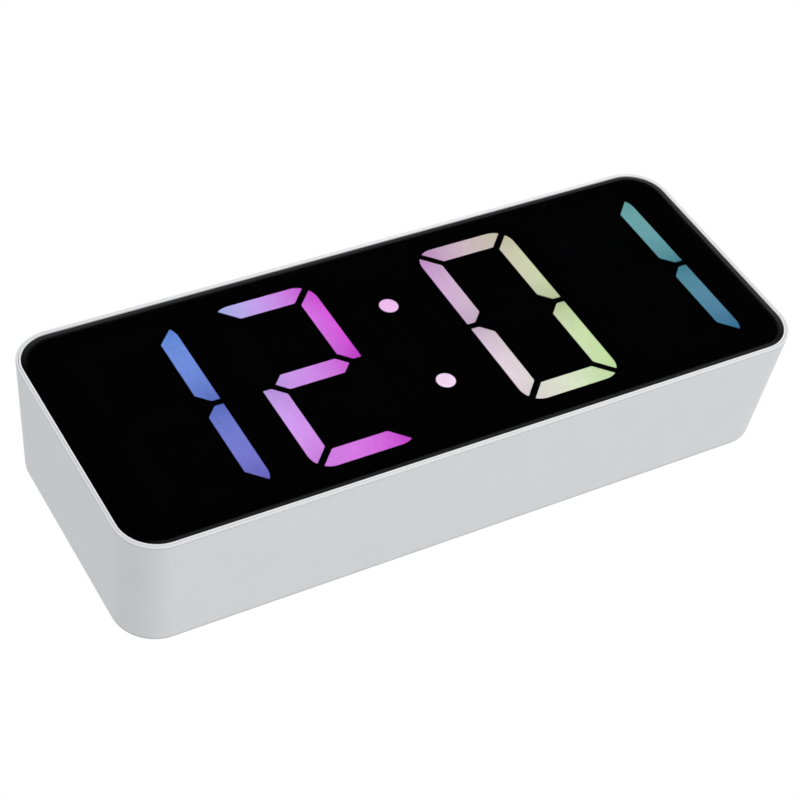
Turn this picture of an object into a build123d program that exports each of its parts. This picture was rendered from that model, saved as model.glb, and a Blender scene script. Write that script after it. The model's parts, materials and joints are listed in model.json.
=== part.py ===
from build123d import *
import math
import os

# A desk clock with a four-digit LED display, in millimetres.
# It is drawn in the case's frame: X to the right, Y back from the lens face, Z up from the lens centre.
# At the end it is stood on its bottom wall, which is drafted, so that the display leans back a little.
# The digits and the margins round them set the case's width and height, and the two boards set its depth.

# Digits
digit_width = 22.0
digit_height = 45.9
digit_gap = 8.25  # between the two digits of a pair
pair_gap = 24.0  # between the two pairs, for the colon
stroke = 4.15
segment_gap = 1.37
dot_radius = 1.95
dot_z = 11.3

# Case
corner_radius = 8.5
side_draft = 1.64  # narrowing of each end wall over the whole depth
level_draft = 1.2  # narrowing of the top and the bottom wall over the whole depth
wall = 2.0
back_edge_radius = 1.2
front_edge_cut = 0.2
overrun = 1.0  # how far a cutting body passes the face that it cuts
edge_tolerance = 0.01  # how far from a depth an edge may lie and count as lying there

# Front rim, from the outside inwards: housing lip, groove, frame rim, lens clearance
lip_width = 0.5
groove_width = 0.1
frame_rim = 0.35
lens_clearance = 0.03

# Layers behind the lens face
lens_thickness = 0.5
lens_edge_drop = 0.28
lens_edge_width = 1.25
lens_crown_radius = 4.0
film_thickness = 0.05
tape_thickness = 0.15
ledge_thickness = 1.2
film_inset = 0.4
tape_inset = 0.7
tape_setback = 0.5  # from the frame's opening

# Frame
frame_side_margin = 8.45  # from the frame's opening to the side of the case
frame_level_margin = 4.65  # from the frame's opening to the top of the case
frame_clearance = 0.1  # frame skirt to housing wall
skirt_thickness = 1.5
skirt_length = 4.0
post_radius = 2.3
catch_width = 8.0
catch_spacing = 84.0
catch_reach = 0.5  # beyond the skirt
catch_length = 1.3
catch_setback = 0.8  # from the skirt's rear edge
catch_clearance = 0.2

# Reflector block, its funnels and the diffusers in them
block_side_margin = 1.0  # from the outermost digit's edge
block_level_margin = 1.4
block_depth = 7.0
block_clearance = 0.3  # block to the frame's opening
layer_gap = 0.02
funnel_mouth_margin = 0.2
funnel_floor_inset = 0.9
diffuser_thickness = 1.2
diffuser_clearance = 0.05

# Display board
board_thickness = 1.6
board_gap = 0.1  # block to board
board_side_clearance = 0.6  # board edge to housing wall
board_level_clearance = 1.9
board_corner_cut = 2.5
screw_hole_clearance = 0.15
solder_gap = 0.02
led_side = 1.6
led_height = 0.6
led_place_share = 0.19  # of a segment's length, from its middle
driver_length = 7.0
driver_width = 7.5
driver_height = 2.3
driver_x = 34.0
driver_lead_pitch = 1.27
driver_leads_per_side = 5
lead_width = 0.42
lead_thickness = 0.25
lead_reach = 1.4

# Connectors and ribbon cable between the boards
board_spacing = 9.33  # between the two boards' facing sides
connector_length = 14.0
connector_width = 5.0
connector_height = 2.4
connector_x = -8.0
connector_z = -2.0
ribbon_width = 12.0
ribbon_thickness = 0.3
ribbon_run = 12.0
ribbon_slot_clearance = 0.05

# Case screws and their wells
well_radius = 3.2
well_bore_radius = 2.3
well_floor = 1.8
well_gap = 0.1  # well nose to display board
web_thickness = 2.4
case_screw_radius = 1.15
case_screw_length = 8.4
case_screw_head_radius = 2.1
case_screw_head_height = 1.6
case_pilot_room = 0.9  # beyond the screw's tip
screw_pilot_clearance = 0.03
cross_width = 0.55
cross_span = 2.5
cross_depth = 0.9

# Key board, on bosses of the back wall
key_board_height = 34.0
key_board_end_margin = 17.0  # from the last key's axis to the board's end
boss_radius = 2.5
boss_side_inset = 3.5  # from the board's end
boss_chimney_gap = 1.8
boss_gap = 0.05
board_screw_radius = 0.95
board_screw_length = 5.0
board_screw_head_radius = 1.8
board_screw_head_height = 1.2

# Keys and their switches
key_pitch = 14.0
first_key_x = -3.0
key_names = ("mode", "down", "up", "alarm")
key_z = 9.0
key_width = 9.0
key_height = 5.6
key_corner_cut = 1.2
key_clearance = 0.2
key_proud = 0.9
key_edge_cut = 0.3
key_dish = 0.25
key_flange_width = 0.9
key_flange_thickness = 0.9
key_flange_gap = 0.2
key_stem_side = 3.0
key_stem_length = 0.55
key_travel = 0.4
switch_side = 6.0
switch_height = 3.5
plunger_side = 3.0
plunger_clearance = 0.08
plunger_proud = 0.6
plunger_depth = 0.7
plunger_gap = 0.03

# Buzzer and sound holes
buzzer_z = -9.5
buzzer_radius = 5.5
buzzer_gap = 0.58  # to the back wall
buzzer_mouth_radius = 1.0
sound_slot_width = 1.0
sound_slot_length = 7.0
sound_slot_pitch = 2.2
sound_slot_count = 5

# USB-C power inlet, below the last key
usb_z = -8.5
usb_width = 8.94
usb_height = 3.26
usb_shell_wall = 0.3
usb_slot_clearance = 0.18
usb_recess_length = 14.0
usb_recess_height = 8.0
usb_recess_depth = 1.2
usb_mouth_proud = 0.3
usb_base = 1.1
usb_tongue_width = 6.69
usb_tongue_thickness = 0.7
usb_tongue_setback = 0.8

# Coin cell, its holder and contacts
battery_x = -34.0
battery_z = 0.5
cell_radius = 10.0
cell_height = 3.2
cell_step_width = 1.2
cell_step_height = 0.5
cell_clearance = 0.25
holder_wall = 1.95
holder_floor = 0.9
holder_rim = 0.15  # the cell's face below the holder's rim
contact_thickness = 0.3
contact_width = 4.0
contact_gap = 0.05
clip_overlap = 1.6
clip_width = 5.0
clip_slot_clearance = 0.1

# Battery door and its opening
door_opening_clearance = 0.3  # opening to the cell holder
door_ledge = 1.3
door_thickness = 1.0
door_clearance = 0.15
door_hook_width = 5.0
door_hook_spacing = 15.0
door_hook_reach = 1.3
door_hook_thickness = 0.8
door_hook_clearance = 0.2
door_hook_root = 1.5
door_latch_width = 7.0
door_latch_slit = 0.8
door_latch_length = 6.0
door_nail_radius = 5.0
door_nail_depth = 0.7
chimney_wall = 1.2
chimney_margin = 0.5
chimney_hook_room = 2.8
chimney_gap = 0.2

# Parts of the key board's circuit
chip_side = 7.0
chip_height = 1.4
chip_z = 2.0
chip_spacing = 13.0  # to the crystal
crystal_length = 8.0
crystal_width = 3.4
crystal_height = 2.4
crystal_z = 3.0
crystal_spacing = 9.0  # to the capacitors
can_edge = 0.35
capacitor_radius = 2.0
capacitor_height = 4.6
capacitor_spacing = 6.0
capacitor_z = -5.0
capacitor_end_margin = 20.0  # to the key board's end

# Widths and heights that follow from the display
inner_digit_x = (pair_gap + digit_width) / 2
outer_digit_x = inner_digit_x + digit_width + digit_gap
digit_centres = (-outer_digit_x, -inner_digit_x, inner_digit_x, outer_digit_x)
block_width = 2 * (outer_digit_x + digit_width / 2 + block_side_margin)
block_height = digit_height + 2 * block_level_margin
opening_width = block_width + 2 * block_clearance
opening_height = block_height + 2 * block_clearance
case_width = opening_width + 2 * frame_side_margin
case_height = opening_height + 2 * frame_level_margin
lens_inset = lip_width + groove_width + frame_rim + lens_clearance
post_x = opening_width / 2 + post_radius
posts = [(-post_x, 0), (post_x, 0)]

# Battery opening and key board, whose ends follow from the battery and from the last key
holder_half = cell_radius + cell_clearance + holder_wall
opening_half = holder_half + door_opening_clearance
ledge_half = opening_half + door_ledge
chimney_half = opening_half + chimney_margin
chimney_outside = chimney_half + chimney_wall
key_places = {name: first_key_x + index * key_pitch for index, name in enumerate(key_names)}
usb_x = key_places["alarm"]
key_board_left = battery_x - chimney_outside - boss_chimney_gap - boss_radius - boss_side_inset
key_board_right = usb_x + key_board_end_margin
bosses = [(key_board_left + boss_side_inset, 0), (key_board_right - boss_side_inset, 0)]
capacitor_x = key_board_right - capacitor_end_margin
crystal_x = capacitor_x - crystal_spacing
chip_x = crystal_x - chip_spacing

# Depths behind the lens face, from the lens to the back wall
film_front = lens_thickness
tape_front = film_front + film_thickness
ledge_front = tape_front + tape_thickness
ledge_back = ledge_front + ledge_thickness
block_front = tape_front + layer_gap
block_back = block_front + block_depth
diffuser_back = block_front + diffuser_thickness
board_front = block_back + board_gap
board_back = board_front + board_thickness
key_board_front = board_back + board_spacing
key_board_rear = key_board_front + board_thickness
switch_front = key_board_rear + solder_gap
switch_back = switch_front + switch_height
stem_front = switch_back + plunger_proud + plunger_gap
flange_front = stem_front + key_stem_length
flange_back = flange_front + key_flange_thickness
wall_inside = flange_back + key_flange_gap
case_depth = wall_inside + wall


def plate(outline, front, back):
    """A slab of a flat outline between two depths behind the lens face."""
    return extrude(Plane.XZ.offset(-back) * outline, amount=back - front, dir=(0, -1, 0))


def rod(radius, front, back, x=0, z=0):
    """A round bar along Y between two depths."""
    return plate(Pos(x, z) * Circle(radius), front, back)


def edges_at(shape, depth):
    """The edges of a shape that lie flat at one depth."""
    return [
        edge
        for edge in shape.edges()
        if abs(edge.bounding_box().min.Y - depth) < edge_tolerance
        and abs(edge.bounding_box().max.Y - depth) < edge_tolerance
    ]


def drafted(inset, front, back):
    """A slab of the case's rounded outline, drawn in all round, that narrows with depth as the case does."""

    def flanks(size, draft_depth):
        near, far = [size / 2 - inset - draft_depth * depth / case_depth for depth in (front, back)]
        return near, far

    side_near, side_far = flanks(case_width, side_draft)
    top_near, top_far = flanks(case_height, level_draft)
    plan = Polygon((-side_near, front), (side_near, front), (side_far, back), (-side_far, back), align=None)
    profile = Polygon((front, -top_near), (front, top_near), (back, top_far), (back, -top_far), align=None)
    slab = extrude(Plane.XY * plan, amount=case_height, both=True)
    slab &= extrude(Plane.YZ * profile, amount=case_width, both=True)
    depth_edges = [edge for edge in slab.edges() if edge.bounding_box().size.Y > (back - front) / 2]
    return fillet(depth_edges, corner_radius - inset)


def screw(radius, length, head_radius, head_height, seat, x, z, points_back):
    """A pan head screw with a cross recess, its head's underside at the depth of its seat."""
    toward = 1 if points_back else -1
    tip = seat + toward * length
    top = seat - toward * head_height
    shank = rod(radius, min(seat, tip), max(seat, tip), x, z)
    head = rod(head_radius, min(seat, top), max(seat, top), x, z)
    floor = top + toward * cross_depth
    cross = Rectangle(cross_span, cross_width) + Rectangle(cross_width, cross_span)
    recess = plate(Pos(x, z) * cross, min(top, floor), max(top, floor))
    return shank + head - recess


# Segments of a digit

mitre = segment_gap / math.sqrt(2)


def segment_outlines():
    """The seven segments of a digit about its centre, with mitred ends at 45 degrees."""
    half_width = digit_width / 2
    half_height = digit_height / 2
    node = stroke / 2
    top = [
        (-half_width + mitre, half_height),
        (half_width - mitre, half_height),
        (half_width - stroke - mitre, half_height - stroke),
        (-half_width + stroke + mitre, half_height - stroke),
    ]
    side = [
        (-half_width, half_height - mitre),
        (-half_width + stroke, half_height - stroke - mitre),
        (-half_width + stroke, node + mitre),
        (-half_width + node - mitre + segment_gap / 2, segment_gap / 2),
        (-half_width, segment_gap / 2),
    ]
    bar = [
        (-half_width + node + mitre, 0),
        (-half_width + stroke + mitre, node),
        (half_width - stroke - mitre, node),
        (half_width - node - mitre, 0),
        (half_width - stroke - mitre, -node),
        (-half_width + stroke + mitre, -node),
    ]

    def outline(points, across, up):
        return Polygon(*[(across * x, up * z) for x, z in points], align=None)

    return {
        "a": outline(top, 1, 1),
        "b": outline(side, -1, 1),
        "c": outline(side, -1, -1),
        "d": outline(top, 1, -1),
        "e": outline(side, 1, -1),
        "f": outline(side, 1, 1),
        "g": outline(bar, 1, 1),
    }


segments = segment_outlines()
digit_corner = RectangleRounded(digit_width, digit_height, stroke)
dots = [(0, -dot_z), (0, dot_z)]
funnel_slope = (funnel_mouth_margin + funnel_floor_inset) / block_depth


def funnel(outline, front, back, clearance):
    """A funnel behind one window, or a piece of it, that narrows evenly towards its lamp."""
    margin = funnel_mouth_margin - funnel_slope * (front - block_front) - clearance
    straight = plate(offset(outline, amount=margin, kind=Kind.INTERSECTION), front, back)
    sides = [face for face in straight.faces() if face.bounding_box().size.Y > (back - front) / 2]
    return draft(sides, Plane.XZ.offset(-front), -math.degrees(math.atan(funnel_slope)))


# Lens, film, tape


def inside_lens(inset):
    """The lens outline drawn in by inset all round."""
    return RectangleRounded(
        case_width - 2 * (lens_inset + inset),
        case_height - 2 * (lens_inset + inset),
        corner_radius - lens_inset - inset,
    )


front_lens = plate(inside_lens(0), 0, lens_thickness)
front_lens = chamfer(edges_at(front_lens, 0), length=lens_edge_drop, length2=lens_edge_width)
front_lens = fillet(edges_at(front_lens, 0), lens_crown_radius)

windows = [
    Pos(centre, 0) * (outline & digit_corner) for centre in digit_centres for outline in segments.values()
]
windows += [Pos(x, z) * Circle(dot_radius) for x, z in dots]
display_film = plate(inside_lens(film_inset) - windows, film_front, tape_front)

tape_window = Rectangle(opening_width + 2 * tape_setback, opening_height + 2 * tape_setback)
lens_tape = plate(inside_lens(tape_inset) - tape_window, tape_front, ledge_front)

# Frame: the rim round the lens, the ledge behind it, the skirt with its catches and the screw posts

well_front = board_back + well_gap
well_seat = well_front + well_floor
case_pilot_end = well_seat - case_screw_length - case_pilot_room
skirt_inset = wall + frame_clearance
front_frame = drafted(lip_width + groove_width, 0, ledge_back)
front_frame -= plate(inside_lens(-lens_clearance), -overrun, ledge_front)
front_frame += drafted(skirt_inset, ledge_back, ledge_back + skirt_length)
front_frame -= drafted(skirt_inset + skirt_thickness, ledge_back, ledge_back + skirt_length)
front_frame -= plate(Rectangle(opening_width, opening_height), 0, ledge_back)
catch_back = ledge_back + skirt_length - catch_setback
catch_front = catch_back - catch_length


def catches(clearance):
    """Two blocks on each long side of the skirt, or with a clearance the pockets that they snap into."""
    front = catch_front - clearance
    back = catch_back + clearance
    block = Rectangle(catch_width + 2 * clearance, case_height)
    bars = [Pos(side * catch_spacing / 2, 0) * block for side in (-1, 1)]
    ring = drafted(skirt_inset - catch_reach - clearance, front, back)
    ring -= drafted(skirt_inset + skirt_thickness / 2, front, back)
    return ring & plate(Sketch() + bars, front, back)


front_frame += catches(0)
for x, z in posts:
    front_frame += rod(post_radius, ledge_front + ledge_thickness / 2, board_front, x, z)
for x, z in posts:
    pilot_radius = case_screw_radius + screw_pilot_clearance
    front_frame -= rod(pilot_radius, case_pilot_end, board_front + overrun, x, z)

# Reflector block and diffusers

reflector_block = plate(Rectangle(block_width, block_height), block_front, block_back)
digit_funnels = [funnel(outline, block_front, block_back, 0) for outline in segments.values()]
funnels = [Pos(centre, 0, 0) * hollow for centre in digit_centres for hollow in digit_funnels]
dot_outlines = [Pos(x, z) * Rectangle(2 * dot_radius, 2 * dot_radius) for x, z in dots]
funnels += [funnel(outline, block_front, block_back, 0) for outline in dot_outlines]
reflector_block -= funnels

segment_diffusers = [
    funnel(outline, block_front, diffuser_back, diffuser_clearance) for outline in segments.values()
]
digit_diffusers = [[Pos(centre, 0, 0) * piece for piece in segment_diffusers] for centre in digit_centres]
colon_diffusers = [
    funnel(outline, block_front, diffuser_back, diffuser_clearance) for outline in dot_outlines
]

# Display board and what is soldered to it

draft_at_board = board_back / case_depth
board_width = case_width - 2 * (wall + side_draft * draft_at_board + board_side_clearance)
board_height = case_height - 2 * (wall + level_draft * draft_at_board + board_level_clearance)
board_outline = chamfer(Rectangle(board_width, board_height).vertices(), board_corner_cut)
for x, z in posts:
    board_outline -= Pos(x, z) * Circle(case_screw_radius + screw_hole_clearance)
display_board = plate(board_outline, board_front, board_back)

led_places = list(dots)
for centre in digit_centres:
    for outline in segments.values():
        box = outline.bounding_box()
        across, up = (box.size.X, 0) if box.size.X > box.size.Y else (0, box.size.Y)
        for end in (-led_place_share, led_place_share):
            led_places.append((centre + box.center().X + end * across, box.center().Y + end * up))
led_back = board_front - solder_gap
led_chips = [
    plate(Pos(x, z) * Rectangle(led_side, led_side), led_back - led_height, led_back) for x, z in led_places
]


def flat_chip(length, width, height, front, x, z, leads_per_side):
    """A moulded chip on the rear face of a board, with gull-wing leads along two sides."""
    body = plate(Pos(x, z) * Rectangle(length, width), front + lead_thickness, front + height)
    body = chamfer(edges_at(body, front + height), lead_thickness)
    foot = lead_reach / 2
    lead_front = front + height / 2
    lead_back = lead_front + lead_thickness
    for side in (-1, 1):
        root = z + side * width / 2
        shoulder = root + side * (lead_reach - foot)
        toe = shoulder + side * foot
        for index in range(leads_per_side):
            lead_x = x + (index - (leads_per_side - 1) / 2) * driver_lead_pitch
            arm = Pos(lead_x, (root + shoulder) / 2) * Rectangle(lead_width, abs(shoulder - root))
            drop = Pos(lead_x, shoulder) * Rectangle(lead_width, lead_thickness)
            sole = Pos(lead_x, (shoulder + toe) / 2) * Rectangle(lead_width, foot)
            body += plate(arm, lead_front, lead_back)
            body += plate(drop, front, lead_back)
            body += plate(sole, front, front + lead_thickness)
    return body


chip_front = board_back + solder_gap
driver_chips = [
    flat_chip(driver_length, driver_width, driver_height, chip_front, x, 0, driver_leads_per_side)
    for x in (-driver_x, driver_x)
]

# Ribbon cable and its two connectors

front_run = board_back + connector_height / 2
rear_run = key_board_front - connector_height / 2
slot_half_depth = ribbon_thickness / 2 + ribbon_slot_clearance
slot_width = ribbon_width + 2 * ribbon_slot_clearance


def connector(front, back, run):
    """A ribbon connector with its slot open towards plus X."""
    outline = Rectangle(connector_width, connector_length)
    body = plate(Pos(connector_x, connector_z) * outline, front, back)
    slot = Pos(connector_x + connector_width / 2, connector_z) * Rectangle(connector_width, slot_width)
    return body - plate(slot, run - slot_half_depth, run + slot_half_depth)


display_connector = connector(board_back + solder_gap, board_back + connector_height, front_run)
key_connector = connector(key_board_front - connector_height, key_board_front - solder_gap, rear_run)
ribbon_start = connector_x + ribbon_slot_clearance
ribbon_turn = connector_x + connector_width / 2 + ribbon_run
bend = (rear_run - front_run) / 2
ribbon_line = Polyline((ribbon_start, front_run), (ribbon_turn, front_run))
ribbon_line += ThreePointArc(
    (ribbon_turn, front_run), (ribbon_turn + bend, front_run + bend), (ribbon_turn, rear_run)
)
ribbon_line += Polyline((ribbon_turn, rear_run), (ribbon_start, rear_run))
ribbon_cable = extrude(
    Plane.XY.offset(connector_z - ribbon_width / 2) * trace(ribbon_line, ribbon_thickness),
    amount=ribbon_width,
)

# Rear housing: tub, lip, screw wells and their webs, bosses

housing_outer = drafted(0, 0, case_depth)
housing_outer = fillet(edges_at(housing_outer, case_depth), back_edge_radius)
housing_outer = chamfer(edges_at(housing_outer, 0), front_edge_cut)
rear_housing = housing_outer - drafted(wall, 0, wall_inside)
rear_housing -= drafted(lip_width, 0, ledge_back)
rear_housing -= catches(catch_clearance)

inner_space = drafted(wall / 2, well_front, wall_inside + wall / 2)
web_reach = case_width / 2 - post_x
for x, z in posts:
    outward = math.copysign(web_reach / 2, x)
    web = plate(Pos(x + outward, z) * Rectangle(web_reach, web_thickness), well_seat, wall_inside)
    rear_housing += (rod(well_radius, well_front, wall_inside + wall / 2, x, z) + web) & inner_space
for x, z in posts:
    rear_housing -= rod(case_screw_radius + screw_hole_clearance, well_front - overrun, well_seat, x, z)
    rear_housing -= rod(well_bore_radius, well_seat, case_depth + overrun, x, z)

boss_front = key_board_rear + boss_gap
for x, z in bosses:
    rear_housing += rod(boss_radius, boss_front, wall_inside + wall / 2, x, z)
for x, z in bosses:
    pilot_radius = board_screw_radius + screw_pilot_clearance
    rear_housing -= rod(pilot_radius, boss_front - overrun, wall_inside, x, z)

# Holes in the back wall for the keys, the buzzer and the power inlet



def key_outline(margin):
    """A key's outline, with a margin all round."""
    whole = Rectangle(key_width + 2 * margin, key_height + 2 * margin)
    return chamfer(whole.vertices(), key_corner_cut)


for x in key_places.values():
    hole = Pos(x, key_z) * key_outline(key_clearance)
    rear_housing -= plate(hole, wall_inside - overrun, case_depth + overrun)

buzzer_x = first_key_x + key_pitch / 2
for index in range(sound_slot_count):
    slot_x = buzzer_x + (index - (sound_slot_count - 1) / 2) * sound_slot_pitch
    slot = Pos(slot_x, buzzer_z) * Rectangle(sound_slot_width, sound_slot_length)
    rear_housing -= plate(slot, wall_inside - overrun, case_depth + overrun)

usb_place = Pos(usb_x, usb_z)
usb_floor = case_depth - usb_recess_depth
usb_recess = SlotOverall(usb_recess_length, usb_recess_height)
usb_slot = SlotOverall(usb_width + 2 * usb_slot_clearance, usb_height + 2 * usb_slot_clearance)
rear_housing -= plate(usb_place * usb_recess, usb_floor, case_depth + overrun)
rear_housing -= plate(usb_place * usb_slot, wall_inside - overrun, case_depth)

# Battery opening, its ledge on three sides, the chimney round the cell holder and the nail scoop

door_floor = case_depth - door_thickness - door_clearance
chimney_front = key_board_rear + chimney_gap
chimney_low = -opening_half - chimney_hook_room


def battery_plate(left, right, low, high, front, back):
    """A slab between four sides measured from the battery opening's centre."""
    centre = Pos(battery_x + (left + right) / 2, battery_z + (low + high) / 2)
    return plate(centre * Rectangle(right - left, high - low), front, back)


rear_housing += battery_plate(
    -chimney_outside,
    chimney_outside,
    chimney_low - chimney_wall,
    chimney_outside,
    chimney_front,
    wall_inside + wall / 2,
)
rear_housing -= battery_plate(
    -chimney_half, chimney_half, chimney_low, chimney_half, chimney_front - overrun, wall_inside
)
rear_housing -= battery_plate(
    -opening_half, opening_half, -opening_half, opening_half, wall_inside - overrun, case_depth + overrun
)
rear_housing -= battery_plate(
    -ledge_half, ledge_half, -opening_half, ledge_half, door_floor, case_depth + overrun
)
nail_scoop = Pos(battery_x, battery_z + ledge_half) * Circle(door_nail_radius)
rear_housing -= plate(nail_scoop, case_depth - door_nail_depth, case_depth + overrun)

# Battery door: a plate on the ledge, two hooks behind the wall's lower edge, and a slit latch

door_front = case_depth - door_thickness
plate_half = ledge_half - door_clearance
plate_low = -opening_half + door_clearance
hook_back = wall_inside - door_hook_clearance
hook_front = hook_back - door_hook_thickness
hook_top = plate_low + door_hook_root
hook_tip = -opening_half - door_hook_reach
battery_door = battery_plate(-plate_half, plate_half, plate_low, plate_half, door_front, case_depth)
for side in (-1, 1):
    left = side * door_hook_spacing / 2 - door_hook_width / 2
    right = left + door_hook_width
    battery_door += battery_plate(left, right, plate_low, hook_top, hook_front, door_front)
    battery_door += battery_plate(left, right, hook_tip, hook_top, hook_front, hook_back)

latch_half = door_latch_width / 2
latch_top = opening_half - door_clearance
latch_low = latch_top - door_thickness
latch_front = door_floor - door_thickness
slit_low = plate_half - door_latch_length
slit_high = plate_half + overrun
battery_door += battery_plate(-latch_half, latch_half, latch_low, latch_top, latch_front, door_front)
for left in (-latch_half - door_latch_slit, latch_half):
    right = left + door_latch_slit
    battery_door -= battery_plate(left, right, slit_low, slit_high, latch_front, case_depth)

# Key board, switches and keys

key_board_middle = (key_board_left + key_board_right) / 2
key_board_outline = Pos(key_board_middle, 0) * Rectangle(key_board_right - key_board_left, key_board_height)
for x, z in bosses:
    key_board_outline -= Pos(x, z) * Circle(board_screw_radius + screw_hole_clearance)
key_board = plate(key_board_outline, key_board_front, key_board_rear)

plunger_front = switch_back - plunger_depth
bore_front = plunger_front - key_travel - plunger_clearance
key_top = case_depth + key_proud
dish_reach = key_height / 2 - key_edge_cut
dish_radius = (dish_reach**2 + key_dish**2) / (2 * key_dish)
dish_place = Pos(key_top + dish_radius - key_dish, key_z)
dish = extrude(Plane.YZ * (dish_place * Circle(dish_radius)), amount=key_width, both=True)
plunger_bore = Rectangle(plunger_side + 2 * plunger_clearance, plunger_side + 2 * plunger_clearance)
tact_switches = []
tact_plungers = {}
key_buttons = {}
for name, x in key_places.items():
    axis = Pos(x, key_z)
    case = plate(axis * Rectangle(switch_side, switch_side), switch_front, switch_back)
    case -= plate(axis * plunger_bore, bore_front, switch_back + overrun)
    tact_switches.append(case)
    plunger = axis * Rectangle(plunger_side, plunger_side)
    tact_plungers[name] = plate(plunger, plunger_front, switch_back + plunger_proud)

    cap = plate(axis * key_outline(0), flange_front, key_top)
    cap = chamfer(edges_at(cap, key_top), key_edge_cut)
    cap -= Pos(x, 0, 0) * dish
    cap += plate(axis * key_outline(key_flange_width), flange_front, flange_back)
    cap += plate(axis * Rectangle(key_stem_side, key_stem_side), stem_front, flange_back)
    key_buttons[name] = cap

# Buzzer and power inlet

buzzer_back = wall_inside - buzzer_gap
buzzer_middle = (switch_front + buzzer_back) / 2
buzzer = rod(buzzer_radius, switch_front, buzzer_back, buzzer_x, buzzer_z)
buzzer -= rod(buzzer_mouth_radius, buzzer_middle, buzzer_back + overrun, buzzer_x, buzzer_z)

usb_back = usb_floor + usb_mouth_proud
usb_inside = SlotOverall(usb_width - 2 * usb_shell_wall, usb_height - 2 * usb_shell_wall)
usb_tongue = Rectangle(usb_tongue_width, usb_tongue_thickness)
usb_shell = plate(usb_place * (SlotOverall(usb_width, usb_height) - usb_inside), switch_front, usb_back)
usb_insulator = plate(usb_place * usb_inside, switch_front, switch_front + usb_base)
usb_insulator += plate(usb_place * usb_tongue, switch_front, usb_back - usb_tongue_setback)

# Coin cell, its holder and contacts

battery_centre = Pos(battery_x, battery_z)
pocket_floor = switch_front + holder_floor
contact_front = pocket_floor + contact_gap
cell_front = contact_front + contact_thickness + contact_gap
cell_back = cell_front + cell_height
holder_back = cell_back - holder_rim
clip_back = cell_back + contact_gap + contact_thickness
pocket_radius = cell_radius + cell_clearance
clip_z = battery_z + pocket_radius
clip_slot = Rectangle(clip_width + 2 * clip_slot_clearance, 2 * (contact_thickness + clip_slot_clearance))
cell_holder = plate(battery_centre * Rectangle(2 * holder_half, 2 * holder_half), switch_front, holder_back)
cell_holder -= rod(pocket_radius, pocket_floor, holder_back + overrun, battery_x, battery_z)
cell_holder -= plate(Pos(battery_x, clip_z) * clip_slot, pocket_floor, holder_back + overrun)

cell_shoulder = cell_front + cell_step_height
cap_radius = cell_radius - cell_step_width
coin_cell = rod(cell_radius, cell_shoulder, cell_back, battery_x, battery_z)
coin_cell += rod(cap_radius, cell_front, cell_shoulder, battery_x, battery_z)

contact_outline = Rectangle(2 * cap_radius, contact_width)
cell_contact = plate(battery_centre * contact_outline, contact_front, contact_front + contact_thickness)

clip_leg = Rectangle(clip_width, contact_thickness)
clip_tab = Rectangle(clip_width, clip_overlap)
cell_clip = plate(Pos(battery_x, clip_z + contact_thickness / 2) * clip_leg, pocket_floor, clip_back)
cell_clip += plate(
    Pos(battery_x, clip_z + contact_thickness - clip_overlap / 2) * clip_tab,
    clip_back - contact_thickness,
    clip_back,
)

# Circuit parts on the key board's front face, towards the display

part_back = key_board_front - solder_gap
chip_top = key_board_front - chip_height
crystal_top = key_board_front - crystal_height
capacitor_top = key_board_front - capacitor_height
clock_chip = plate(Pos(chip_x, chip_z) * Rectangle(chip_side, chip_side), chip_top, part_back)
clock_chip = chamfer(edges_at(clock_chip, chip_top), lead_thickness)
crystal = plate(Pos(crystal_x, crystal_z) * Rectangle(crystal_length, crystal_width), crystal_top, part_back)
crystal = chamfer(edges_at(crystal, crystal_top), can_edge)
capacitors = []
for x in (capacitor_x - capacitor_spacing / 2, capacitor_x + capacitor_spacing / 2):
    capacitors.append(rod(capacitor_radius, capacitor_top, part_back, x, capacitor_z))

# Screws

case_screws = [
    screw(
        case_screw_radius,
        case_screw_length,
        case_screw_head_radius,
        case_screw_head_height,
        well_seat,
        x,
        z,
        points_back=False,
    )
    for x, z in posts
]
key_board_screws = [
    screw(
        board_screw_radius,
        board_screw_length,
        board_screw_head_radius,
        board_screw_head_height,
        key_board_front,
        x,
        z,
        points_back=True,
    )
    for x, z in bosses
]

# Every node, then the placement on the table

nodes = {
    "front_lens": front_lens,
    "display_film": display_film,
    "lens_tape": lens_tape,
    "front_frame": front_frame,
    "reflector_block": reflector_block,
    "colon_diffusers": colon_diffusers,
    "led_chips": led_chips,
    "display_board": display_board,
    "driver_chips": driver_chips,
    "display_connector": display_connector,
    "ribbon_cable": ribbon_cable,
    "key_connector": key_connector,
    "rear_housing": rear_housing,
    "case_screws": case_screws,
    "key_board": key_board,
    "key_board_screws": key_board_screws,
    "tact_switches": tact_switches,
    "buzzer": buzzer,
    "usb_shell": usb_shell,
    "usb_insulator": usb_insulator,
    "cell_holder": cell_holder,
    "coin_cell": coin_cell,
    "cell_contact": cell_contact,
    "cell_clip": cell_clip,
    "clock_chip": clock_chip,
    "crystal": crystal,
    "capacitors": capacitors,
    "battery_door": battery_door,
}
for index, diffusers in enumerate(digit_diffusers):
    nodes[f"digit_{index + 1}_diffusers"] = diffusers
for name in key_names:
    nodes[f"{name}_button"] = key_buttons[name]
    nodes[f"tact_plunger_{name}"] = tact_plungers[name]

lean = math.atan2(level_draft, case_depth)
tilt = Rot(-math.degrees(lean), 0, 0)
leaning = {
    name: tilt * (Compound(shape) if isinstance(shape, list) else shape) for name, shape in nodes.items()
}
boxes = [shape.bounding_box() for shape in leaning.values()]
middle_y = (min(box.min.Y for box in boxes) + max(box.max.Y for box in boxes)) / 2
stand = Pos(0, -middle_y, case_height / 2 * math.cos(lean))

os.makedirs("parts", exist_ok=True)
for name, shape in leaning.items():
    export_step(stand * shape, f"parts/{name}.step")


def placed(x, y, z):
    """A point of the case's frame in the clock's own frame, in metres."""
    point = stand * tilt * Pos(x, y, z)
    return tuple(round(value / 1000, 6) for value in point.position)


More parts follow.
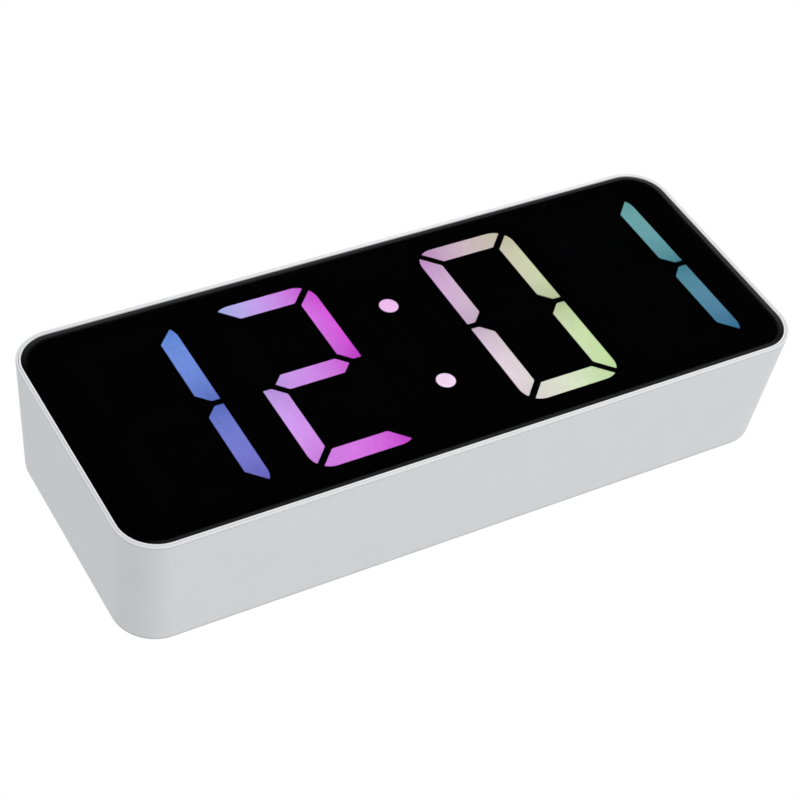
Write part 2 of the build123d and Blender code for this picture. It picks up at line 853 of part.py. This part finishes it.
print("case", round(case_width, 3), round(case_height, 3), round(case_depth, 3))
print("key axis", tuple(round(value, 6) for value in (0, math.cos(lean), -math.sin(lean))))
print("door pivot", placed(battery_x, case_depth, battery_z - opening_half))
print("bottom centre", placed(0, case_depth / 2, (level_draft - case_height) / 2))
print("usb mouth", placed(usb_x, usb_back, usb_z))
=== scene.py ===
import json
import math

import bmesh
import bpy
from mathutils import Matrix, Vector


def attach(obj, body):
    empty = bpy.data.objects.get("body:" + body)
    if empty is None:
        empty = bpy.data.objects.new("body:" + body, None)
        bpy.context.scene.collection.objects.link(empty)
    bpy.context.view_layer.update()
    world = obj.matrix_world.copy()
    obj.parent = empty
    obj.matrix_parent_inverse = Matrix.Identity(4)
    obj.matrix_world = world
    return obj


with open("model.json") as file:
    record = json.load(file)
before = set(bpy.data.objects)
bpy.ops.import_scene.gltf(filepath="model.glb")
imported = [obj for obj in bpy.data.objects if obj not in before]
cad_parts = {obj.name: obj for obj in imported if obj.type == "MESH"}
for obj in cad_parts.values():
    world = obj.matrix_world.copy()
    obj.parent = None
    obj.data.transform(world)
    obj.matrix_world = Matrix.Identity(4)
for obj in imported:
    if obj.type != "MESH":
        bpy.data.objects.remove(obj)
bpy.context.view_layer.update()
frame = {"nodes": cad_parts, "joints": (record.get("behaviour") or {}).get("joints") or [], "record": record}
scene = bpy.context.scene
scene.view_settings.view_transform = "Standard"
mm = 0.001  # in metres, like every other length


def srgb(red, green, blue):
    """The linear colour that a shader takes, from a colour as it shows on screen, 0 to 255."""
    linear = []
    for value in (red, green, blue):
        share = value / 255
        linear.append(share / 12.92 if share <= 0.04045 else ((share + 0.055) / 1.055) ** 2.4)
    return (*linear, 1.0)


def scaled(colour, factor):
    """A colour made lighter or darker by a factor."""
    return (*[min(1.0, part * factor) for part in colour[:3]], 1.0)


# The case's own frame, in which the clock is designed: X right, Y back from the lens face, Z up.
# The clock leans back on its drafted bottom wall, so this frame is turned about X from the row's.


def lean_angle():
    """How far the display leans back, from the axis along which the keys travel."""
    axis = next(joint["axis"] for joint in frame["joints"] if joint["name"] == "mode_press")
    return math.atan2(axis[2], -axis[1])


def case_matrix():
    """Takes a point of the case's frame to the row's. Its origin is the middle of the lens face."""
    turn = Matrix.Rotation(-lean_angle(), 4, "X")
    points = [turn.inverted() @ vertex.co for vertex in frame["nodes"]["front_lens"].data.vertices]
    face = min(point.y for point in points)
    middle = (min(point.z for point in points) + max(point.z for point in points)) / 2
    return turn @ Matrix.Translation((0, face, middle))


case = case_matrix()
to_case = case.inverted()
case_turn = case.to_3x3()
case_up = case_turn @ Vector((0, 0, 1))
case_back = case_turn @ Vector((0, 1, 0))
lens_centre = case @ Vector((0, 0, 0))


def case_span(node):
    """The lowest and the highest corner of a CAD node in the case's frame."""
    points = [to_case @ vertex.co for vertex in frame["nodes"][node].data.vertices]
    low = Vector([min(point[axis] for point in points) for axis in range(3)])
    high = Vector([max(point[axis] for point in points) for axis in range(3)])
    return low, high


# Node building


class Shader:
    """A material's node tree with its Principled shader, and short calls that add nodes to it."""

    def __init__(self, name, colour, roughness, metallic=0.0, specular=0.5):
        self.material = bpy.data.materials.new(name)
        self.material.use_nodes = True
        self.tree = self.material.node_tree
        self.surface = self.tree.nodes["Principled BSDF"]
        self.surface.inputs["Base Color"].default_value = colour
        self.surface.inputs["Roughness"].default_value = roughness
        self.surface.inputs["Metallic"].default_value = metallic
        self.surface.inputs["Specular IOR Level"].default_value = specular
        self.place = self.add("ShaderNodeTexCoord").outputs["Object"]

    def add(self, kind, inputs=(), **settings):
        """A new node. inputs gives sockets, by name or number, a value or another node's socket."""
        node = self.tree.nodes.new(kind)
        for name, value in settings.items():
            setattr(node, name, value)
        for key, value in dict(inputs).items():
            if isinstance(value, bpy.types.NodeSocket):
                self.tree.links.new(value, node.inputs[key])
            else:
                node.inputs[key].default_value = value
        return node

    def set(self, name, socket):
        """Feeds one of the Principled shader's inputs."""
        self.tree.links.new(socket, self.surface.inputs[name])

    def noise(self, size, detail=3.0, roughness=0.55, place=None):
        """Noise whose features are about that size, in metres."""
        place = place or self.place
        inputs = {"Vector": place, "Scale": 1 / size, "Detail": detail, "Roughness": roughness}
        return self.add("ShaderNodeTexNoise", inputs).outputs["Fac"]

    def stretched(self, x, y, z):
        """The object's coordinates scaled along each axis."""
        node = self.add("ShaderNodeMapping", {"Vector": self.place, "Scale": (x, y, z)})
        return node.outputs["Vector"]

    def ranged(self, value, low, high, from_low=0.3, from_high=0.7):
        """A value spread from one range over another. Noise mostly lies between 0.3 and 0.7."""
        inputs = {
            "Value": value,
            "From Min": from_low,
            "From Max": from_high,
            "To Min": low,
            "To Max": high,
        }
        return self.add("ShaderNodeMapRange", inputs).outputs["Result"]

    def swing(self, value, amount, middle=0.0):
        """Noise turned into a number that swings about a middle, by an amount each way."""
        return self.ranged(value, middle - amount, middle + amount)

    def maths(self, operation, *values):
        """The result of a Math node, each of its values a number or a socket."""
        return self.add("ShaderNodeMath", enumerate(values), operation=operation).outputs[0]

    def along(self, direction, origin):
        """How far a point lies from an origin along a direction, in metres."""
        inputs = {0: self.place, 1: tuple(direction)}
        dot = self.add("ShaderNodeVectorMath", inputs, operation="DOT_PRODUCT").outputs["Value"]
        return self.maths("SUBTRACT", dot, Vector(direction).dot(origin))

    def mixed(self, share, first, second):
        """A blend of two colours, each a value or a socket."""
        # A Mix node's two colours are its inputs 6 and 7, and their blend is its output 2
        node = self.add("ShaderNodeMix", {0: share, 6: first, 7: second}, data_type="RGBA")
        return node.outputs[2]

    def near(self, direction, origin, width):
        """1 within a thin layer square to a direction, and 0 outside it, with soft sides."""
        away = self.maths("ABSOLUTE", self.along(direction, origin))
        return self.ranged(away, 1, 0, width / 4, width / 2)

    def fade(self, share):
        """Lets light pass straight through a share of the surface."""
        clear = self.add("ShaderNodeBsdfTransparent")
        inputs = {0: share, 1: self.surface.outputs[0], 2: clear.outputs[0]}
        faded = self.add("ShaderNodeMixShader", inputs)
        self.tree.links.new(faded.outputs[0], self.tree.nodes["Material Output"].inputs["Surface"])

    def bump(self, height, depth, normal=None):
        """The normal of a surface whose relief, from 0 to 1, is that deep in metres."""
        inputs = {"Height": height, "Distance": depth, "Strength": 1.0}
        if normal is not None:
            inputs["Normal"] = normal
        return self.add("ShaderNodeBump", inputs).outputs["Normal"]


# Materials


def moulded(
    name,
    colour,
    roughness,
    grain=0.22 * mm,
    depth=0.003 * mm,
    mottle=0.01,
    specular=0.5,
    painted_shade_lines=(),
):
    """Moulded plastic: a spark-eroded grain, a little flow mottle and an uneven gloss.

    grain is how wide the eroded bumps are and depth how deep, and mottle is how far the colour
    drifts. Each painted shade line is a band of painted shade round the case, given by its depth, width and
    shade.
    """
    flow_size, patch_size, wave_size = 9 * mm, 2.5 * mm, 14 * mm
    wave_depth = 0.008 * mm
    patch_gloss, grain_gloss = 0.04, 0.02
    shader = Shader(name, colour, roughness, specular=specular)
    flow = shader.ranged(shader.noise(flow_size, 2.0), 0, 1)
    shown = shader.mixed(flow, scaled(colour, 1 - mottle), scaled(colour, 1 + mottle))
    # Painted shade: each line darkens the colour in a band round the case at its depth
    for line_depth, width, shade in painted_shade_lines:
        shade_band = shader.near(case_back, case @ Vector((0, line_depth, 0)), width)
        shown = shader.mixed(shade_band, shown, scaled(colour, shade))
    shader.set("Base Color", shown)
    fine = shader.noise(grain, 2.0, 0.7)
    patches = shader.swing(shader.noise(patch_size), patch_gloss)
    gloss = shader.maths("ADD", patches, shader.swing(fine, grain_gloss))
    shader.set("Roughness", shader.maths("ADD", gloss, roughness))
    waves = shader.bump(shader.noise(wave_size, 1.0), wave_depth)
    shader.set("Normal", shader.bump(fine, depth, waves))
    return shader.material


def brushed(name, colour, roughness, scratch=0.06 * mm):
    """Plated or brushed metal with fine scratches along X and a faint tarnish."""
    scratch_squeeze = 0.06
    scratch_gloss = 0.07
    scratch_depth = 0.0015 * mm
    tarnish_size = 1.8 * mm
    tarnished_shade, clean_shade = 0.86, 1.05
    tarnished_roughness, clean_roughness = roughness + 0.06, roughness - 0.04
    shader = Shader(name, colour, roughness, metallic=1.0)
    lines = shader.noise(scratch, 3.0, 0.6, shader.stretched(scratch_squeeze, 1, 1))
    tarnish = shader.noise(tarnish_size, 4.0)
    clean = shader.ranged(tarnish, 0, 1)
    shades = scaled(colour, tarnished_shade), scaled(colour, clean_shade)
    shader.set("Base Color", shader.mixed(clean, *shades))
    dull = shader.ranged(tarnish, tarnished_roughness, clean_roughness)
    shader.set("Roughness", shader.maths("ADD", shader.swing(lines, scratch_gloss), dull))
    shader.set("Normal", shader.bump(lines, scratch_depth))
    return shader.material


def circuit_board(name):
    """Green solder mask over copper tracks, with a fine weave below it."""
    mask, covered_track = srgb(20, 84, 50), srgb(38, 120, 74)
    track_pitch = 3.2 * mm
    track_unevenness = 0.55
    track_edge, track_end = 0.05, 0.08
    track_depth = 0.03 * mm
    weave_size, weave_squeeze, weave_depth = 0.5 * mm, 0.2, 0.004 * mm
    glossiest, dullest = 0.26, 0.4
    shader = Shader(name, mask, 0.32)
    cells = shader.add(
        "ShaderNodeTexVoronoi",
        {"Vector": shader.place, "Scale": 1 / track_pitch, "Randomness": track_unevenness},
        feature="DISTANCE_TO_EDGE",
        distance="MANHATTAN",
    ).outputs["Distance"]
    tracks = shader.ranged(cells, 1, 0, track_edge, track_end)
    shader.set("Base Color", shader.mixed(tracks, mask, covered_track))
    weave = shader.noise(weave_size, 1.0, 0.5, shader.stretched(1, weave_squeeze, 1))
    shader.set("Roughness", shader.ranged(weave, glossiest, dullest))
    shader.set("Normal", shader.bump(tracks, track_depth, shader.bump(weave, weave_depth)))
    return shader.material


# Lens: a pane of smoked glass, which light crosses at both faces, with black print round its edge

lens_alpha = 0.42
lens_passes = (1 - lens_alpha) ** 2
glass_specular = 0.5
glass_ior = 1.5


def polished(shader, smear_size, glossiest, dullest, wave_size):
    """Adds faint smears and the slow waves of a pane to a shader, and returns its material."""
    wave_depth = 0.002 * mm
    shader.set("Roughness", shader.ranged(shader.noise(smear_size), glossiest, dullest))
    shader.set("Normal", shader.bump(shader.noise(wave_size, 0.0), wave_depth))
    return shader.material


def smoked_glass(name, specular):
    """A flat face of the lens, through which the lit segments show."""
    shader = Shader(name, srgb(6, 6, 8), 0.03, specular=specular)
    shader.surface.inputs["IOR"].default_value = glass_ior
    shader.surface.inputs["Alpha"].default_value = lens_alpha
    return polished(shader, 6 * mm, 0.02, 0.045, 30 * mm)


def lens_border(name):
    """The lens's bevel and sides, with the gloss that the glass has after its alpha."""
    shader = Shader(name, srgb(3, 3, 4), 0.05, specular=glass_specular * lens_alpha)
    return polished(shader, 3 * mm, 0.04, 0.09, 20 * mm)


# Digits: each has its own blend of LED colours, and its segments are brighter and paler in the middle

digit_width = 22.0 * mm
digit_height = 45.9 * mm
stroke = 4.15 * mm
digit_centres = [x * mm for x in (-53.25, -23.0, 23.0, 53.25)]
middle_gain = 0.25
middle_white = 0.05
speckle_size = 0.34 * mm
cloud_size = 3 * mm
cloud_depth = 0.03


def segment_end(shader, across, up):
    """How far a point is from its segment's middle: 0 there, and 1 or -1 at the segment's ends.

    The point is given from the digit's centre. One slanting line parts the upright segments from
    the middle one, and another parts them from the top and bottom ones.
    """
    sideways = shader.maths("ABSOLUTE", across)
    upwards = shader.maths("ABSOLUTE", up)
    outside = shader.maths("ADD", sideways, upwards)
    outside = shader.maths("GREATER_THAN", outside, (digit_width - stroke) / 2)
    beside = shader.maths("SUBTRACT", sideways, upwards)
    beside = shader.maths("GREATER_THAN", beside, (digit_width - digit_height) / 2)
    upright = shader.maths("MULTIPLY", outside, beside)
    level_end = shader.ranged(sideways, 0, 1, 0, digit_width / 2)
    upright_end = shader.maths("MULTIPLY_ADD", upwards, 4 / digit_height, -1.0)
    difference = shader.maths("SUBTRACT", upright_end, level_end)
    return shader.maths("MULTIPLY_ADD", upright, difference, level_end)


def glow(name, centre, top_left, top_right, bottom_left, bottom_right, grain):
    """A lit diffuser, seen through the lens, from the colours at a digit's corners."""
    shader = Shader(name, srgb(24, 24, 26), 0.5, specular=0.0)
    across = shader.along((1, 0, 0), lens_centre + Vector((centre, 0, 0)))
    up = shader.along(case_up, lens_centre)
    share = shader.ranged(across, 0, 1, -digit_width / 2, digit_width / 2)
    height = shader.ranged(up, 0, 1, -digit_height / 2, digit_height / 2)
    top = shader.mixed(share, srgb(*top_left), srgb(*top_right))
    bottom = shader.mixed(share, srgb(*bottom_left), srgb(*bottom_right))
    colour = shader.mixed(height, bottom, top)

    end = segment_end(shader, across, up)
    middle = shader.maths("SUBTRACT", 1.0, shader.maths("MULTIPLY", end, end))
    gain = shader.maths("MULTIPLY_ADD", middle, middle_gain, 1.0)
    white = shader.maths("MULTIPLY", middle, middle_white)
    inputs = {0: colour, 1: gain, 2: white}
    light = shader.add("ShaderNodeVectorMath", inputs, operation="MULTIPLY_ADD").outputs["Vector"]
    shader.set("Emission Color", light)
    speckle = shader.swing(shader.noise(speckle_size, 2.0, 0.7), grain, 1.0)
    cloud = shader.swing(shader.noise(cloud_size, 2.0), cloud_depth, 1.0)
    evenness = shader.maths("MULTIPLY", speckle, cloud)
    shader.set("Emission Strength", shader.maths("DIVIDE", evenness, lens_passes))
    return shader.material


# Paint for the CAD nodes. A painted shade line is given by its depth behind the lens face, its width and its
# shade.
# After a colour comes the roughness. A plastic may add its grain's size and depth and its mottle,
# and a metal the size of its scratches.

back_wall = case_span("rear_housing")[1].y
# Painted shade on the housing: a dark line where shade falls in the groove between the frame and the
# housing, and a darker band on the rounded back edge, which turns from the light
front_groove_shade = (0.38 * mm, 0.3 * mm, 0.8)
back_edge_shade = (back_wall - 0.75 * mm, 1.3 * mm, 0.86)
painted_shade_lines = (front_groove_shade, back_edge_shade)
black_print = {"grain": 0.3 * mm, "depth": 0.002 * mm, "mottle": 0.1, "specular": 0.0}
paint = {
    "housing_white": moulded("housing_white", srgb(231, 232, 234), 0.5, specular=0.35, painted_shade_lines=painted_shade_lines),
    "frame_white": moulded("frame_white", srgb(241, 241, 242), 0.36, 0.16 * mm, 0.002 * mm),
    "lens_black": smoked_glass("lens_black", glass_specular),
    "film_black": moulded("film_black", srgb(2, 2, 2), 0.7, **black_print),
    "tape_black": moulded("tape_black", srgb(5, 5, 5), 0.8, 0.25 * mm, 0.02 * mm, 0.2, specular=0.0),
    "reflector_white": moulded("reflector_white", srgb(236, 236, 232), 0.5),
    "board_green": circuit_board("board_green"),
    "chip_black": moulded("chip_black", srgb(28, 28, 30), 0.55, 0.12 * mm, 0.004 * mm, 0.15),
    "led_white": moulded("led_white", srgb(232, 228, 200), 0.35, 0.1 * mm, 0.001 * mm),
    "connector_cream": moulded("connector_cream", srgb(228, 220, 192), 0.5),
    "ribbon_grey": moulded("ribbon_grey", srgb(172, 174, 178), 0.45, 0.4 * mm, 0.01 * mm),
    "screw_steel": brushed("screw_steel", srgb(176, 176, 180), 0.34),
    "contact_nickel": brushed("contact_nickel", srgb(196, 190, 178), 0.28),
    "cell_steel": brushed("cell_steel", srgb(190, 190, 192), 0.24, 0.09 * mm),
    "can_metal": brushed("can_metal", srgb(204, 204, 206), 0.3),
    "key_white": moulded("key_white", srgb(226, 227, 229), 0.42, 0.16 * mm, 0.003 * mm),
    "socket_steel": brushed("socket_steel", srgb(170, 171, 174), 0.3),
    "plunger_brown": moulded("plunger_brown", srgb(58, 46, 40), 0.5, 0.12 * mm, 0.003 * mm, 0.1),
}
unlit = moulded("unlit_segment", srgb(3, 3, 3), 0.7, **black_print)
ink = moulded("ink_grey", srgb(128, 130, 134), 0.5, 0.1 * mm, 0.001 * mm)
gold = brushed("contact_gold", srgb(214, 180, 108), 0.25)

blue, violet_blue = (80, 122, 196), (90, 84, 171)
periwinkle, magenta = (146, 169, 214), (190, 60, 196)
orchid, pink = (192, 114, 208), (180, 36, 184)
lilac, sage = (172, 122, 180), (178, 176, 148)
shell, leaf = (204, 195, 198), (172, 203, 139)
sea_green, teal = (86, 145, 143), (20, 90, 128)
pale_rose, pale_pink = (206, 148, 206), (214, 196, 214)
glows = {
    "digit_1_diffusers": glow("glow_blue", digit_centres[0], blue, blue, violet_blue, violet_blue, 0.16),
    "digit_2_diffusers": glow("glow_violet", digit_centres[1], periwinkle, magenta, orchid, pink, 0.09),
    "digit_3_diffusers": glow("glow_green", digit_centres[2], lilac, sage, shell, leaf, 0.09),
    "digit_4_diffusers": glow("glow_teal", digit_centres[3], sea_green, sea_green, teal, teal, 0.14),
    "colon_diffusers": glow("glow_pale", 0.0, pale_rose, pale_rose, pale_pink, pale_pink, 0.06),
}
lit_segments = {
    "digit_1_diffusers": "bc",
    "digit_2_diffusers": "abged",
    "digit_3_diffusers": "abcdef",
    "digit_4_diffusers": "bc",
}


def segment_at(x, z):
    """The letter of the segment in which a point about a digit's centre lies."""
    across, up = abs(x), abs(z)
    if across + up < (digit_width - stroke) / 2:
        return "g"
    if across - up < (digit_width - digit_height) / 2:
        return "a" if z > 0 else "d"
    if x > 0:
        return "b" if z > 0 else "c"
    return "f" if z > 0 else "e"


def dress(node, *materials):
    """Gives a CAD node its materials."""
    mesh = frame["nodes"][node].data
    mesh.materials.clear()
    for material in materials:
        mesh.materials.append(material)


lens_front, lens_edge, lens_back = range(3)


def lens_face(normal):
    """Which of the lens's materials a face with that normal takes."""
    flat_cosine = 0.99
    backwards = normal.dot(case_back)
    if backwards < -flat_cosine:
        return lens_front
    return lens_back if backwards > flat_cosine else lens_edge


for part in frame["record"]["subparts"]:
    if part["material_slot"] in paint:
        dress(part["node"], paint[part["material_slot"]])
dress("colon_diffusers", glows["colon_diffusers"])
dress("front_lens", paint["lens_black"], lens_border("lens_border"), smoked_glass("lens_back", 0.0))
for polygon in frame["nodes"]["front_lens"].data.polygons:
    polygon.material_index = lens_face(polygon.normal)
lit, dark = range(2)
for (node, letters), centre in zip(lit_segments.items(), digit_centres):
    dress(node, glows[node], unlit)
    for polygon in frame["nodes"][node].data.polygons:
        place = to_case @ polygon.center
        segment = segment_at(place.x - centre, place.z)
        polygon.material_index = lit if segment in letters else dark

# Small visual pieces: flat forms drawn in the case's X and Z, and raised from a depth


def raised(name, outlines, depth, height, body, material, bevel=0.0):
    """One piece from closed outlines, each raised backwards from a depth of the case."""
    mesh = bpy.data.meshes.new(name)
    build = bmesh.new()
    for outline in outlines:
        front = [build.verts.new(case @ Vector((x, depth, z))) for x, z in outline]
        back = [build.verts.new(case @ Vector((x, depth + height, z))) for x, z in outline]
        build.faces.new(front)
        build.faces.new(reversed(back))
        for index in range(len(outline)):
            after = (index + 1) % len(outline)
            build.faces.new((front[index], back[index], back[after], front[after]))
    bmesh.ops.recalc_face_normals(build, faces=build.faces)
    build.to_mesh(mesh)
    build.free()
    mesh.materials.append(material)
    thing = bpy.data.objects.new(name, mesh)
    scene.collection.objects.link(thing)
    if bevel:
        soften = thing.modifiers.new("bevel", "BEVEL")
        soften.width = bevel
        soften.segments = 2
        soften.limit_method = "ANGLE"
    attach(thing, body)


def moved(outline, x, z):
    """An outline moved along the case's X and Z."""
    return [(x + px, z + pz) for px, pz in outline]


def bar(width, height):
    """A bar's outline about its middle."""
    x, z = width / 2, height / 2
    return [(-x, -z), (x, -z), (x, z), (-x, z)]


def ring(radius, width, count=24):
    """A ring as a row of four-cornered outlines."""
    turns = [2 * math.pi * index / count for index in range(count + 1)]
    inner = [((radius - width) * math.cos(turn), (radius - width) * math.sin(turn)) for turn in turns]
    outer = [(radius * math.cos(turn), radius * math.sin(turn)) for turn in turns]
    pairs = list(zip(inner, outer))
    return [[*pair, *reversed(after)] for pair, after in zip(pairs, pairs[1:])]


def arc(radius, start, end, z, count=8):
    """Points of an arc about (0, z), its angles in degrees."""
    turns = [math.radians(start + (end - start) * index / count) for index in range(count + 1)]
    return [(radius * math.cos(turn), z + radius * math.sin(turn)) for turn in turns]


# Marks printed over the keys

mark = 1.25 * mm  # half the size of a mark
mark_gap = 1.3 * mm  # from the flange of a key to the middle of its mark
ink_height = 0.015 * mm


def triangle(way, size=mark):
    """A triangle that points up where way is 1, and down where it is -1."""
    base = -0.7 * way * size
    return [[(-size, base), (size, base), (0, way * size)]]


def dial():
    """A round face with two hands, which show three o'clock from behind."""
    rim, hand = 0.2 * mark, 0.24 * mark
    minutes, hours = 0.72 * mark, 0.4 * mark
    upright = moved(bar(hand, minutes), 0, (minutes - hand) / 2)
    level = moved(bar(hours, hand), -(hours + hand) / 2, 0)
    return ring(mark, rim) + [upright, level]


def bell():
    """A bell's side view with its clapper."""
    waist, waist_level = 0.7 * mark, -0.35 * mark
    lip, lip_level = mark, -0.65 * mark
    crown = arc(0.6 * mark, 0, 180, 0.25 * mark)
    skirt = [(-waist, waist_level), (-lip, lip_level), (lip, lip_level), (waist, waist_level)]
    clapper = arc(0.3 * mark, 180, 360, -0.75 * mark)
    return [crown + skirt, clapper]


key_marks = {"mode": dial(), "down": triangle(-1), "up": triangle(1), "alarm": bell()}
for key, outlines in key_marks.items():
    low, high = case_span(f"{key}_button")
    middle = (low.x + high.x) / 2
    level = high.z + mark_gap
    places = [moved(outline, middle, level) for outline in outlines]
    raised(f"{key}_mark", places, back_wall, ink_height, "clock", ink)

# Battery door: grip ridges below its latch, and below them an arrow that points the way to push it

ridge_count = 4
ridge_length = 9 * mm
ridge_width = 0.6 * mm
ridge_pitch = 1.5 * mm
ridge_drop = 9.5 * mm  # from the door's top to the first ridge
arrow_drop = 8.5 * mm  # from the first ridge to the arrow
arrow_size = 2.0 * mm
grip_height = 0.3 * mm
grip_edge = 0.1 * mm
door_low, door_high = case_span("battery_door")
door_x = (door_low.x + door_high.x) / 2
ridge_level = door_high.z - ridge_drop
ridge = bar(ridge_length, ridge_width)
ridges = [moved(ridge, door_x, ridge_level - index * ridge_pitch) for index in range(ridge_count)]
arrow = [moved(outline, door_x, ridge_level - arrow_drop) for outline in triangle(-1, arrow_size)]
# The arrow's rough grain is its own, and its darker white is painted shade, so that the raised arrow looks
# sunk into the door
arrow_shade_paint = moulded("arrow_painted_shade", srgb(202, 203, 206), 0.7, 0.12 * mm, 0.006 * mm)
door_marks = {"door_ridges": (ridges, paint["housing_white"]), "door_arrow": (arrow, arrow_shade_paint)}
for name, (outlines, material) in door_marks.items():
    raised(name, outlines, back_wall, grip_height, "door", material, grip_edge)

# Coin cell: the plus sign stamped in its face

plus_reach = 2.4 * mm
plus_half = 0.4 * mm
plus_height = 0.03 * mm
cell_low, cell_high = case_span("coin_cell")
cell_x = (cell_low.x + cell_high.x) / 2
cell_z = (cell_low.z + cell_high.z) / 2
quarter = [(plus_half, -plus_half), (plus_reach, -plus_half), (plus_reach, plus_half)]
plus = []
for _ in range(4):
    plus += [(cell_x + x, cell_z + z) for x, z in quarter]
    quarter = [(-z, x) for x, z in quarter]
stamp = brushed("cell_stamp", srgb(96, 96, 100), 0.5)
raised("cell_plus", [plus], cell_high.y, plus_height, "clock", stamp)

# Power inlet: gold contacts on both sides of the tongue

pad_count = 12
pad_pitch = 0.5 * mm
pad_width = 0.25 * mm
pad_length = 3.2 * mm
pad_thickness = 0.03 * mm
tongue_half = 0.35 * mm
tongue_tip = 0.4 * mm  # from the pads to the tongue's end
inlet_low, inlet_high = case_span("usb_insulator")
inlet_x = (inlet_low.x + inlet_high.x) / 2
inlet_z = (inlet_low.z + inlet_high.z) / 2
pads = []
for index in range(pad_count):
    pad_x = inlet_x + (index - (pad_count - 1) / 2) * pad_pitch
    for side in (-1, 1):
        pad_z = inlet_z + side * (tongue_half + pad_thickness / 2)
        pads.append(moved(bar(pad_width, pad_thickness), pad_x, pad_z))
pad_depth = inlet_high.y - tongue_tip - pad_length
raised("inlet_contacts", pads, pad_depth, pad_length, "clock", gold)

# Camera, at the photograph's viewing angle: its place and its directions in the case's frame

focal_length, sensor_width = 98.05, 36  # in millimetres
nearest = 0.01
camera_place = case @ Vector((-0.186149, -0.2875, -0.249825))
camera_forward = case_turn @ Vector((0.42508, 0.69867, 0.57547))
camera_down = case_turn @ Vector((-0.26924, 0.70459, -0.65656))
camera_right = camera_down.cross(camera_forward)
camera_data = bpy.data.cameras.new("camera")
camera_data.sensor_fit = "HORIZONTAL"
camera_data.sensor_width = sensor_width
camera_data.lens = focal_length
camera_data.clip_start = nearest
camera = bpy.data.objects.new("camera", camera_data)
scene.collection.objects.link(camera)
axes = [camera_right.normalized(), -camera_down.normalized(), -camera_forward.normalized()]
camera.matrix_world = Matrix.Translation(camera_place) @ Matrix(axes).transposed().to_4x4()
scene.camera = camera

# World: even white light, and plain white where the camera, gloss or glass looks past the clock

ambient = 0.62
world = bpy.data.worlds.new("studio")
world.use_nodes = True
scene.world = world
sky = world.node_tree.nodes["Background"]
sky.inputs["Color"].default_value = (1, 1, 1, 1)
rays = world.node_tree.nodes.new("ShaderNodeLightPath")
seen = rays.outputs["Is Camera Ray"]
for name in ("Is Glossy Ray", "Is Transmission Ray"):
    either = world.node_tree.nodes.new("ShaderNodeMath")
    either.operation = "MAXIMUM"
    world.node_tree.links.new(seen, either.inputs[0])
    world.node_tree.links.new(rays.outputs[name], either.inputs[1])
    seen = either.outputs[0]
level = world.node_tree.nodes.new("ShaderNodeMapRange")
world.node_tree.links.new(seen, level.inputs["Value"])
level.inputs["To Min"].default_value = ambient
level.inputs["To Max"].default_value = 1.0
world.node_tree.links.new(level.outputs["Result"], sky.inputs["Strength"])


def flat_mesh(name, corners):
    """An object with one flat face."""
    mesh = bpy.data.meshes.new(name)
    mesh.from_pydata([tuple(corner) for corner in corners], [], [tuple(range(len(corners)))])
    thing = bpy.data.objects.new(name, mesh)
    scene.collection.objects.link(thing)
    return thing


# Floor: pale, seen from above only, and open to the light that reaches the clock from below

floor_reach = 0.9
fade_start, fade_end = 0.35 * floor_reach, 0.85 * floor_reach
square = ((-1, -1), (1, -1), (1, 1), (-1, 1))
floor = flat_mesh("floor", [(x * floor_reach, y * floor_reach, 0) for x, y in square])
ground = Shader("floor", srgb(243, 243, 244), 0.7)
paths = ground.add("ShaderNodeLightPath").outputs
below = ground.add("ShaderNodeNewGeometry").outputs["Backfacing"]
away = ground.add("ShaderNodeVectorMath", {0: ground.place}, operation="LENGTH").outputs["Value"]
open_share = ground.ranged(away, 0, 1, fade_start, fade_end)
for source in (below, paths["Is Shadow Ray"], paths["Is Diffuse Ray"]):
    open_share = ground.maths("MAXIMUM", open_share, source)
ground.fade(open_share)
floor.data.materials.append(ground.material)

# Lamps: soft ones in front of the clock and below, above it and behind it, and a small one near its rim

clock_middle = Vector((0, 0, 0.03))
soft_size, small_size = 0.7, 0.1


def lamp(name, place, size, power):
    """A round lamp aimed at the clock, which the camera and gloss don't see, in metres and watts."""
    data = bpy.data.lights.new(name, "AREA")
    data.shape = "DISK"
    data.size = size
    data.energy = power
    thing = bpy.data.objects.new(name, data)
    thing.location = place
    aim = clock_middle - Vector(place)
    thing.rotation_euler = aim.to_track_quat("-Z", "Y").to_euler()
    thing.visible_glossy = False
    thing.visible_camera = False
    scene.collection.objects.link(thing)


lamp("front_lamp", (0.315, -0.8, -0.54), soft_size, 3.7)
lamp("top_lamp", (0.25, 0.2, 1.0), soft_size, 2.0)
lamp("rim_lamp", (0.06, -0.12, 0.17), small_size, 0.09)
lamp("back_lamp", (0.5, 0.9, 0.5), soft_size, 3.0)

# Flags: dark cards that only gloss sees, square to a direction from the lens, which keep the lens black

flag_distance = 0.7


def flag(name, direction, across_stops, up_stops):
    """One card, from the places along its two axes where its dark begins, is full, thins and ends."""
    direction = Vector(direction).normalized()
    across = direction.cross(Vector((0, 0, 1))).normalized()
    up = across.cross(direction).normalized()
    middle = lens_centre + direction * flag_distance
    left, right = across_stops[0], across_stops[-1]
    low, high = up_stops[0], up_stops[-1]
    corners = ((left, low), (right, low), (right, high), (left, high))
    card = flat_mesh(name, [middle + across * x + up * z for x, z in corners])
    cloth = Shader(name, srgb(4, 4, 4), 0.9, specular=0.0)
    clear = 0.0
    for way, (begins, full, thins, ends) in ((across, across_stops), (up, up_stops)):
        place = cloth.along(way, middle)
        clear = cloth.maths("MAXIMUM", clear, cloth.ranged(place, 1, 0, begins, full))
        clear = cloth.maths("MAXIMUM", clear, cloth.ranged(place, 0, 1, thins, ends))
    cloth.fade(clear)
    card.data.materials.append(cloth.material)
    card.visible_camera = False
    card.visible_diffuse = False
    card.visible_shadow = False
    card.visible_transmission = False


view_direction = case_turn @ Vector((0.258, -0.816, 0.518))
flag("view_flag", view_direction, (-0.8, -0.34, 0.32, 0.42), (-0.29, -0.19, 0.17, 0.68))
flag("front_flag", (0, -1, 0.04), (-0.25, -0.2, 0.2, 0.25), (-0.16, -0.12, 0.08, 0.12))
